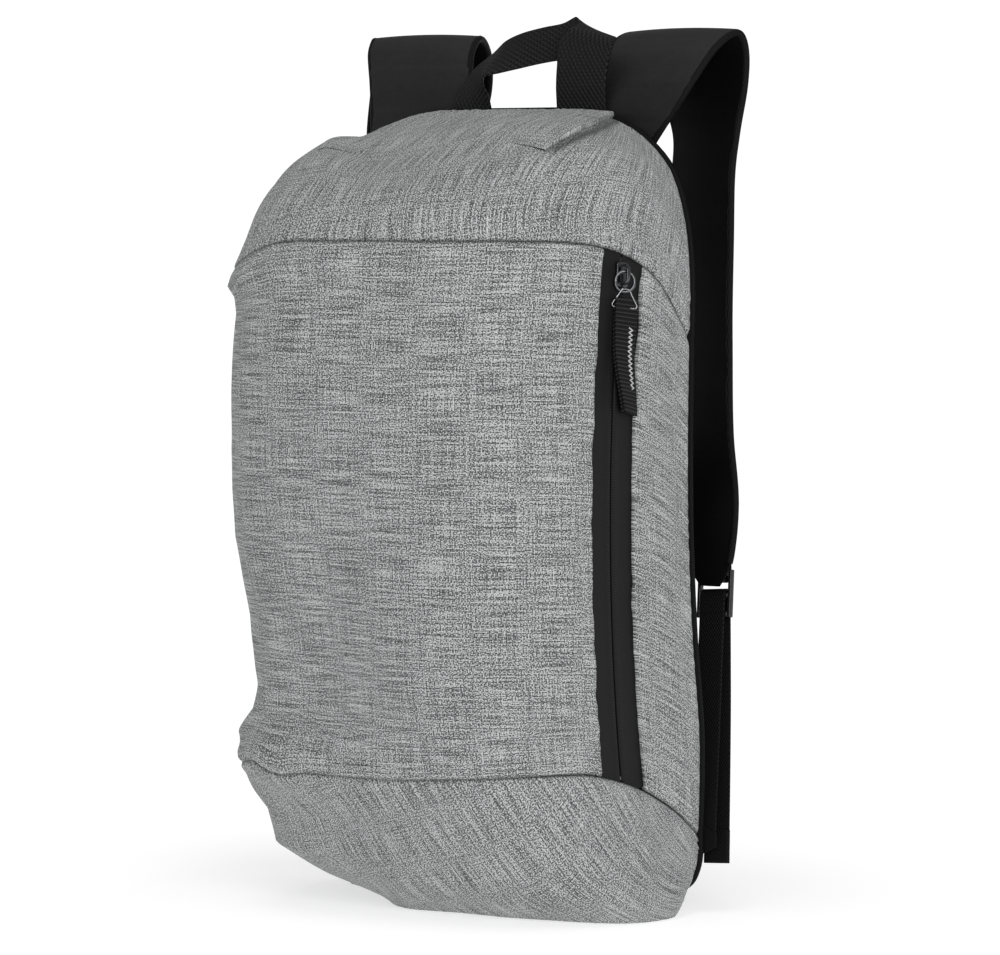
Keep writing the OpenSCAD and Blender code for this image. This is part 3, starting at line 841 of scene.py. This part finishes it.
def strap_path(fold):
    """Stations of a right-hand strap: x, y, z, across direction, width."""
    b, x, e = BACK_Y, fold + 8, WEB_TOP[2]
    w = WEB_TOP[0] - x
    lean_out = fold - 68
    return [[57 - 0.4 * lean_out, b + 4.5, 379, 1, 0, 0, 58],
            [58 + 0.1 * lean_out, b + 4.6, 392, 1, 0, 0, 59],
            [58 + 0.6 * lean_out, b + 5.2, 403.5, 1, 0, 0, 60],
            [60 + 0.75 * lean_out, b + 9, 414, 1, 0, 0, 62],
            [58 + (fold - 58) * 0.75, b + 18, 429, 1, 0, 0, 65],
            [fold, b + 28, 436, 1, -0.05, 0, 66],
            [fold + 3, b + 37, 428, 1, -0.2, 0, 66],
            [fold + 5, b + 39, 410, 0.95, -0.32, 0, 65],
            [x, b + 37, 387, 0.88, -0.47, 0, 60],
            [x - 1, b + 36, 366, 0.86, -0.51, 0, 60],
            [x - w * 0.05, b + 34, 335, 0.86, -0.51, 0, 60],
            [x + w * 0.12, b + 33, 285, 0.86, -0.51, 0, 54],
            [x + w * 0.42, b + 32, 236, 0.92, -0.38, 0, 40],
            [x + w * 0.85, b + 30, 200, 1, 0, 0, 29],
            [WEB_TOP[0] - 1.2, b + 27, e + 24, 1, 0, 0, 28],
            [WEB_TOP[0] - 0.6, b + 25.2, e + 13, 1, 0, 0, 23],
            [WEB_TOP[0] - 0.4, b + 25.2, e + 5, 1, 0, 0, 13]]


def on_web(p, up, side):
    """Point p of the webbing's frame, up along it from its lower end."""
    x, y, z = p[0], p[1], p[2] + up
    ct, st = math.cos(TILT), math.sin(TILT)
    y, z = y * ct - z * st, y * st + z * ct
    cl, sl = math.cos(LEAN_WEB), math.sin(LEAN_WEB)
    x, z = x * cl + z * sl, -x * sl + z * cl
    return np.array([x + WEB_LOW[0], y + WEB_LOW[1], z + WEB_LOW[2]]) * [1 if side == "right" else -1, 1, 1]


def strap_wobble(seed):
    """Thins a strap towards its lower end and makes its faces uneven."""
    def change(pts, nrm, length):
        thin = np.clip((length[-1] - length) / 45, 0.3, 1)[:, None, None]
        mid = pts.mean(1, keepdims=True)
        pts = pts - nrm[:, None, :] * ((pts - mid) * nrm[:, None, :]).sum(-1, keepdims=True) * (1 - thin)
        slow = np.array([noise.noise(Vector((s / 14.0, seed, 0.0))) for s in length])
        fine = np.array([noise.noise(Vector((s / 5.5, seed, 3.0))) for s in length])
        bumps = 0.45 * slow + 0.22 * fine * (0.3 + bell(length, 55, 60))
        return pts + nrm[:, None, :] * bumps[:, None, None]
    return change


for seed, name in ((31.0, "right"), (37.0, "left")):
    sgn = 1 if name == "right" else -1
    pts = [[r[0] * sgn, r[1], r[2], r[3], r[4] * sgn, r[5], r[6] - 1.6] for r in strap_path(FOLD[name])]
    pad = band_object(name + "_strap_pad", pts, 220, 3.4, M_STRAP, crown=1.15, corner=1.3,
                      wobble=strap_wobble(seed), flat=22)
    pad.data.materials.append(M_STRAP_BACK_SHADE)
    ring = len(ring_profile(10, 3.4, 1.3, flat=22))
    outer_from, outer_to = 9, 39  # places in the ring that belong to the outer face
    # Faces off the outer face take the darker copy: painted shade on the strap's back.
    pad.data.polygons.foreach_set("material_index", [0 if outer_from < f.vertices[0] % ring < outer_to else 1
                                                     for f in pad.data.polygons])
    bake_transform(pad)
    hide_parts(name + "_strap_face", name + "_strap_foam", name + "_strap_back", name + "_strap_anchor")
    tab = np.array(pts, float)
    rows = np.stack([along(tab, i / 160) for i in range(161)])
    across = rows[:, 3:6] / np.linalg.norm(rows[:, 3:6], axis=1, keepdims=True)
    for e, edge_name in ((-1, "inner"), (1, "outer")):
        line = rows[:, :3] + e * across * (rows[:, 6:7] / 2 - 0.9)
        cord = tube(name + "_strap_" + edge_name + "_edge", line[:-14], 1.8, M_BIND, sides=10)
        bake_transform(cord)

    # The webbing, its adjustable tail, the ladder-lock and the strap's end loop.
    right_v = (on_web((1, 0, 0), 0.0, name) - on_web((0, 0, 0), 0.0, name)) * sgn
    run = [[*on_web((0, -2.8, z), 0.0, name), *right_v, WEB_WIDE] for z in np.linspace(0.8, WEB_RUN - 9, 12)]
    low = band_object(name + "_webbing_run", run, 60, 1.15, M_WEB)
    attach(low, name + "_webbing")
    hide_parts(name + "_webbing")
    tail_line = [(-2.8, -9), (-2.7, -3), (-1.7, 1.6), (0, 2.7), (1.8, 1.6), (2.7, -3), (3.2, -12), (3.7, -36),
                 (4, -60), (3.7, -98), (3.1, -133)]
    rows = [[*on_web((max(-z, 0) * TAIL_SPLAY, y, z), WEB_RUN, name), *right_v, WEB_WIDE]
            for y, z in tail_line]
    tail = band_object(name + "_webbing_tail_strap", rows, 150, 1.15, M_WEB)
    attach(tail, name + "_ladderlock")
    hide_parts(name + "_webbing_tail")
    hem = [[*on_web((-z * TAIL_SPLAY, y, z), WEB_RUN, name), *right_v, WEB_WIDE + 0.2]
           for y, z in ((3.35, -117), (3.3, -121), (3.15, -128), (3.05, -133.5))]
    fold_end = band_object(name + "_tail_hem", hem, 12, 2.6, M_WEB)
    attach(fold_end, name + "_ladderlock")
    flap = np.array([(98, 24), (117.6, 33.5), (117.6, 39.5), (100, 50)], float)
    sheet_rows = []
    for f in np.linspace(0, 1, 10):
        top, foot = flap[3] * (1 - f) + flap[2] * f, flap[0] * (1 - f) + flap[1] * f
        mid = (top + foot) / 2
        sheet_rows.append([mid[0] * sgn, BACK_Y + 3.9, mid[1], 0, 0, 1, top[1] - foot[1]])
    gus = band_object(name + "_gusset_cloth", sheet_rows, 30, 1.2, M_BIND, corner=0.4)
    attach(gus, "pack")
    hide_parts(name + "_webbing_gusset")
    parts = []
    for i in (-1, 1):
        bar = [[*on_web((i * 8.7, 0, z), WEB_RUN, name), *right_v, w]
               for z, w in ((-11, 1.5), (-10, 1.8), (0, 1.8), (11.5, 1.8), (12.5, 1.5))]
        parts.append(band_object(name + "_lock_side", bar, 16, 3.6, M_PLASTIC, corner=0.6))
    for z, r in ((-9.5, 1.4), (0, 1.4), (11, 1.4)):
        bar = [on_web((x, 0, z), WEB_RUN, name) for x in np.linspace(-8.4, 8.4, 8)]
        parts.append(tube(name + "_lock_bar", bar, r, M_PLASTIC, sides=14))
    for k, o in enumerate(parts):
        o.name = name + "_ladderlock_part_" + str(k)
        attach(o, name + "_ladderlock")
    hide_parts(name + "_ladderlock")
    loop_r = 4.15
    turn_line = [(loop_r * math.cos(math.radians(a)), -loop_r * math.sin(math.radians(a)))
                 for a in np.linspace(0, 180, 13)]
    turn_line = [(loop_r, 8.0), (loop_r, 4.0)] + turn_line + [(-loop_r, 4.0), (-loop_r, 8.0)]
    rows = [[(WEB_TOP[0] - 0.7) * sgn, WEB_TOP[1] + 2.2 + y, WEB_TOP[2] + 10.8 + z, 1, 0, 0, 12.6]
            for y, z in turn_line]
    eye = band_object(name + "_strap_end_loop_tape", rows, 70, 0.75, M_WEB)
    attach(eye, name + "_strap")
    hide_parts(name + "_strap_end_loop")

# ---------------------------------------------------------------- zip slider and its pull
slider = []
for n0, n1, half in ((-1.45, 0.0, 4.4), (-5.4, -4.5, 4.8)):
    rows = []
    for z, w in ((-6, 0.55), (-5.6, 0.8), (-4.6, 1.0), (-2, 0.93), (2, 0.93), (4.6, 1.0), (5.6, 0.8),
                 (6, 0.55)):
        c = np.array(on_zip(((n0 + n1) / 2, 0, z)))
        a = np.array(on_zip(((n0 + n1) / 2, 1, z))) - c
        rows.append([*c, *a, 2 * half * w])
    slider.append(band_object("slider_plate", rows, 30, n1 - n0, M_METAL, crown=0.15, corner=0.35))
arch = [(-0.5, 4.3), (1.4, 4.35), (2.9, 3.7), (3.55, 1.8), (3.6, -1.8), (2.9, -3.7), (1.4, -4.35),
        (-0.5, -4.3)]
rows = []
for n, z in arch:
    c = np.array(on_zip((n, 0, z)))
    a = np.array(on_zip((n, 1, z))) - c
    rows.append([*c, *a, 2.3])
slider.append(band_object("slider_bridge", rows, 50, 1.0, M_METAL, crown=0.1, corner=0.35))
outward = np.array(on_zip((1, 0, 0))) - np.array(on_zip((0, 0, 0)))
post = [[*on_zip((-3, 0, z)), *outward, 4.4] for z in (-5.2, -2, 2, 5.2)]
slider.append(band_object("slider_post", post, 6, 0.8, M_METAL, corner=0.2))
for k, o in enumerate(slider):
    o.name = "zip_slider_part_" + str(k)
    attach(o, "zip_slider")
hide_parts("zip_slider")

TWIST = math.radians(34)
PULL_OUT = 1.6  # how far out from the tape the pull hangs


def turned(n, a, z, twist, centre=0.0):
    """Point of a pull piece that has swung round its own long axis towards the front."""
    return (PULL_OUT + n * math.cos(twist) + a * math.sin(twist),
            centre + a * math.cos(twist) - n * math.sin(twist), z)


def stadium(long, half, steps, z0):
    """Outline with straight sides and round ends, as (across, up)."""
    out = []
    for i in range(steps):
        t = 2 * math.pi * i / steps
        s, c = math.sin(t), math.cos(t)
        out.append((half * s, z0 + (long / 2 - half) * (1 if c > 0 else -1) * min(1, abs(c) * 4) + half * c))
    return out


ring_path = [on_zip(turned(0, a, z, TWIST)) for a, z in stadium(9.9, 4.75, 48, -3.5)]
link = tube("pull_link_ring", ring_path, 0.85, M_METAL, closed=True, sides=14)
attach(link, "zip_link")
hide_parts("pull_link")

wire = [(0.0, -7.1), (1.6, -7.3), (2.5, -8.4), (4.0, -11.0), (5.9, -14.0), (6.2, -15.3), (5.2, -16.0),
        (2, -16.1), (-2, -16.1), (-5.2, -16.0), (-6.2, -15.3), (-5.9, -14.0), (-4.0, -11.0), (-2.5, -8.4),
        (-1.6, -7.3)]
outline = np.array(wire + wire[:1], float)
fine = [along(outline, i / 60) for i in range(60)]
wire_pts = [on_zip(turned(0.9, a, z, TWIST * 0.9, 0.7)) for a, z in fine]
ring = tube("pull_ring_wire", wire_pts, 0.42, M_WIRE, closed=True, sides=10)
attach(ring, "zip_pull")
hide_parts("pull_ring")

TAB_TOP, TAB_LONG, TAB_WIDE = -12.2, 58.0, 12.2
# Middle of the hanging tab, as (across, up).
TAB_MID = np.array([[1.4, -12.2], [1.7, -22], [2.6, -36.8], [4.4, -45], [8.4, -57], [12.6, -70.2]])


def tab_row(z, n_side):
    """Centre, across direction of the folded tab at height z; n_side steps off its middle plane."""
    f = min(max((TAB_TOP - z) / TAB_LONG, 0), 1)
    twist = math.radians(21 - 38 * f ** 1.2)
    a = np.interp(-z, -TAB_MID[:, 1], TAB_MID[:, 0])
    sag = 2.2 - 1.5 * f * f
    n = np.array([math.cos(twist), -math.sin(twist)]) * n_side
    c = (sag + n[0], a + n[1], z)
    d = (math.sin(twist), math.cos(twist), -0.06 * f)
    here = np.array(on_zip(c))
    there = np.array(on_zip((c[0] + d[0], c[1] + d[1], c[2] + d[2])))
    return [*here, *(there - here), TAB_WIDE]


down = [(z, -0.75) for z in np.linspace(-66.5, -15, 14)]
over = [(-13.2, -0.7), (-12.5, -0.35), (-12.3, 0.0), (-12.5, 0.35), (-13.2, 0.7)]
rows = [tab_row(z, s) for z, s in down + over + [(z, -s) for z, s in down[::-1]]]
tab = band_object("pull_tab_ribbon", rows, 300, 1.35, M_TAB, crown=0.12, corner=0.5, flat=14)
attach(tab, "zip_pull")
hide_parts("pull_tab")

ZIG_COUNT, ZIG_TOP, ZIG_STEP, ZIG_MID, ZIG_HALF = 27, -25.5, 1.13, 2.6, 1.1
zig = []
for i in range(ZIG_COUNT):
    r = np.array(tab_row(ZIG_TOP - i * ZIG_STEP, 1.55))
    zig.append(r[:3] + r[3:6] * (ZIG_MID + (ZIG_HALF if i % 2 else -ZIG_HALF)))
stitch = [a * (1 - k / 4) + b * k / 4 for a, b in zip(zig, zig[1:]) for k in range(4)]
sew = tube("pull_tab_zigzag", stitch, 0.36, M_THREAD, sides=6)
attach(sew, "zip_pull")

# ---------------------------------------------------------------- camera, lights, floor
AZ, EL, DIST = math.radians(32.0), math.radians(3.5), 2.2  # metres
AIM_RIGHT, AIM_FRONT, AIM_UP = -0.0054, 0.06, 0.217  # metres from the middle of the back's foot
LENS = 160.776
SKY, SKY_SEEN = 0.38, 1.05
cam_data = bpy.data.cameras.new("camera")
cam = collection_object("camera", cam_data)
right = Vector((math.cos(AZ), math.sin(AZ), 0))
forward = Vector((math.sin(AZ), -math.cos(AZ), 0))
towards = Vector((math.sin(AZ) * math.cos(EL), -math.cos(AZ) * math.cos(EL), math.sin(EL)))
target = right * AIM_RIGHT + Vector((0, BACK_Y * 0.001, AIM_UP)) + forward * AIM_FRONT
cam.location = target + towards * DIST
cam.rotation_mode = "QUATERNION"
cam.rotation_quaternion = (-towards).to_track_quat("-Z", "Y")
cam_data.sensor_width = 36.0
cam_data.lens = LENS
cam_data.clip_start, cam_data.clip_end = 0.1, 50
bpy.context.scene.camera = cam

world = bpy.data.worlds.new("studio")
world.use_nodes = True
wt = world.node_tree
bg = wt.nodes["Background"]
bg.inputs[0].default_value = (1, 1, 1, 1)
bg.inputs[1].default_value = SKY
seen = wt.nodes.new("ShaderNodeBackground")
seen.inputs[0].default_value = (1, 1, 1, 1)
seen.inputs[1].default_value = SKY_SEEN
path = wt.nodes.new("ShaderNodeLightPath")
pick = wt.nodes.new("ShaderNodeMixShader")
wt.links.new(path.outputs["Is Camera Ray"], pick.inputs[0])
wt.links.new(bg.outputs[0], pick.inputs[1])
wt.links.new(seen.outputs[0], pick.inputs[2])
wt.links.new(pick.outputs[0], wt.nodes["World Output"].inputs["Surface"])
bpy.context.scene.world = world
bpy.context.scene.view_settings.view_transform = "Standard"


def area(name, loc, aim, size, power):
    """Round area light; metres and watts."""
    d = bpy.data.lights.new(name, "AREA")
    d.shape = "DISK"
    d.size = size
    d.energy = power
    o = collection_object(name, d)
    o.location = loc
    o.rotation_mode = "QUATERNION"
    o.rotation_quaternion = (Vector(aim) - Vector(loc)).to_track_quat("-Z", "Y")


area("key", (1.9, -1.7, 1.1), (0, 0, 0.22), 1.6, 30)
area("top", (0.1, -0.5, 2.2), (0, 0, 0.2), 1.4, 9)


def radial(t):
    """Distance from the middle of the floor, in metres."""
    co = t.nodes.new("ShaderNodeTexCoord")
    n = t.nodes.new("ShaderNodeVectorMath")
    n.operation = "LENGTH"
    t.links.new(co.outputs["Object"], n.inputs[0])
    return n.outputs["Value"]


floor_me = bpy.data.meshes.new("floor")
floor_me.from_pydata([(-6, -6, 0), (6, -6, 0), (6, 6, 0), (-6, 6, 0)], [], [(0, 1, 2, 3)])
floor = collection_object("floor", floor_me)
fm, ft, fs = nodes_of("floor_white")
# Near the pack the floor takes shadows but also glows, lighting the pack from below; further out it turns
# into plain white light.
far = math_node(ft, "MULTIPLY_ADD", radial(ft), 5.5, -1.0)
far.node.use_clamp = True
for name, near_value, far_value in (("Base Color", 0.7, 0.0), ("Emission Color", 0.56, SKY_SEEN)):
    grey = ft.nodes.new("ShaderNodeCombineColor")
    value = math_node(ft, "MULTIPLY_ADD", far, far_value - near_value, near_value)
    for k in range(3):
        ft.links.new(value, grey.inputs[k])
    ft.links.new(grey.outputs[0], fs.inputs[name])
fs.inputs["Emission Strength"].default_value = 1.0
fs.inputs["Roughness"].default_value = 1.0
fs.inputs["Specular IOR Level"].default_value = 0.0
floor_me.materials.append(fm)
